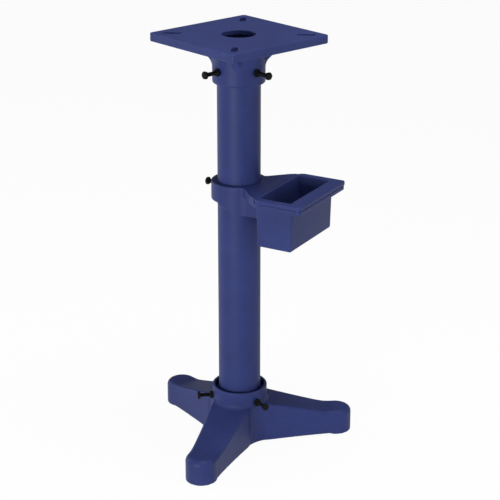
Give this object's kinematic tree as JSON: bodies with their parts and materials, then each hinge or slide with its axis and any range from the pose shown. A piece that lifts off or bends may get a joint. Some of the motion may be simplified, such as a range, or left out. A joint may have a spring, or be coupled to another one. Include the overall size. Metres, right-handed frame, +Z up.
{
  "type": "bench grinder stand",
  "caption": "Blue cast-iron pedestal stand for a bench grinder with a spread-leg base, tube column, slotted square plate and a swing tray with a lift-out water pot.",
  "frame": {"origin": "on the floor under the middle of the stand's bounding box", "axes": "+Z up, the rear leg points to +Y and the tray to the front, -Y"},
  "size_m": [0.403, 0.4282, 0.826],
  "materials": {
    "blue_casting": "blue enamel over cast iron",
    "blue_tube": "blue enamel on steel tube",
    "black_steel": "black oxide"
  },
  "bodies": {
    "base": {"base_casting": "blue_casting"},
    "column": {"column_tube": "blue_tube"},
    "head": {"head_casting": "blue_casting"},
    "tray": {"tray_bracket": "blue_casting"},
    "pot": {"water_pot": "blue_casting"},
    "base_nut_front": {"base_nut_front": "black_steel"},
    "base_nut_right": {"base_nut_right": "black_steel"},
    "base_nut_left": {"base_nut_left": "black_steel"},
    "base_screw_front": {"base_screw_front": "black_steel"},
    "base_screw_right": {"base_screw_right": "black_steel"},
    "base_screw_left": {"base_screw_left": "black_steel"},
    "head_nut_left": {"head_nut_left": "black_steel"},
    "head_nut_front": {"head_nut_front": "black_steel"},
    "head_screw_left": {"head_screw_left": "black_steel"},
    "head_screw_front": {"head_screw_front": "black_steel"},
    "tray_nut": {"tray_nut": "black_steel"},
    "tray_screw": {"tray_screw": "black_steel"}
  },
  "joints": [
    {"name": "column_turn", "type": "hinge", "parent": "base", "child": "column", "pos_m": [0, -0.01389, 0.116], "axis": [0, 0, 1], "continuous": true},
    {"name": "head_turn", "type": "hinge", "parent": "column", "child": "head", "pos_m": [0, -0.01389, 0.735], "axis": [0, 0, 1], "continuous": true},
    {"name": "tray_height", "type": "slide", "parent": "column", "child": "tray", "axis": [0, 0, 1], "range_m": [-0.34, 0.1]},
    {"name": "pot_lift", "type": "slide", "parent": "tray", "child": "pot", "axis": [0, 0, 1], "range_m": [0, 0.1]},
    {"name": "base_nut_front_travel", "type": "slide", "parent": "base", "child": "base_nut_front", "axis": [0, -1, 0], "range_m": [0, 0.00501]},
    {"name": "base_screw_front_turn", "type": "hinge", "parent": "base_nut_front", "child": "base_screw_front", "pos_m": [0, -0.01389, 0.093], "axis": [0, -1, 0], "range_deg": [0, 1440]},
    {"name": "base_nut_right_travel", "type": "slide", "parent": "base", "child": "base_nut_right", "axis": [0.866, 0.5, 0], "range_m": [0, 0.00501]},
    {"name": "base_screw_right_turn", "type": "hinge", "parent": "base_nut_right", "child": "base_screw_right", "pos_m": [0, -0.01389, 0.093], "axis": [0.866, 0.5, 0], "range_deg": [0, 1440]},
    {"name": "base_nut_left_travel", "type": "slide", "parent": "base", "child": "base_nut_left", "axis": [-0.866, 0.5, 0], "range_m": [0, 0.00501]},
    {"name": "base_screw_left_turn", "type": "hinge", "parent": "base_nut_left", "child": "base_screw_left", "pos_m": [0, -0.01389, 0.093], "axis": [-0.866, 0.5, 0], "range_deg": [0, 1440]},
    {"name": "head_nut_left_travel", "type": "slide", "parent": "head", "child": "head_nut_left", "axis": [-0.999, -0.0436, 0], "range_m": [0, 0.00501]},
    {"name": "head_screw_left_turn", "type": "hinge", "parent": "head_nut_left", "child": "head_screw_left", "pos_m": [0, -0.01389, 0.761], "axis": [-0.999, -0.0436, 0], "range_deg": [0, 1440]},
    {"name": "head_nut_front_travel", "type": "slide", "parent": "head", "child": "head_nut_front", "axis": [0.0436, -0.999, 0], "range_m": [0, 0.00501]},
    {"name": "head_screw_front_turn", "type": "hinge", "parent": "head_nut_front", "child": "head_screw_front", "pos_m": [0, -0.01389, 0.761], "axis": [0.0436, -0.999, 0], "range_deg": [0, 1440]},
    {"name": "tray_nut_travel", "type": "slide", "parent": "tray", "child": "tray_nut", "axis": [-0.3567, 0.9342, 0], "range_m": [0, 0.00501]},
    {"name": "tray_screw_turn", "type": "hinge", "parent": "tray_nut", "child": "tray_screw", "pos_m": [0, -0.01389, 0.53], "axis": [-0.3567, 0.9342, 0], "range_deg": [0, 1440]}
  ],
  "couplings": [
    {"joint": "base_nut_front_travel", "follows": "base_screw_front_turn", "m_per_rad": 0.0001989},
    {"joint": "base_nut_right_travel", "follows": "base_screw_right_turn", "m_per_rad": 0.0001989},
    {"joint": "base_nut_left_travel", "follows": "base_screw_left_turn", "m_per_rad": 0.0001989},
    {"joint": "head_nut_left_travel", "follows": "head_screw_left_turn", "m_per_rad": 0.0001989},
    {"joint": "head_nut_front_travel", "follows": "head_screw_front_turn", "m_per_rad": 0.0001989},
    {"joint": "tray_nut_travel", "follows": "tray_screw_turn", "m_per_rad": 0.0001989}
  ]
}
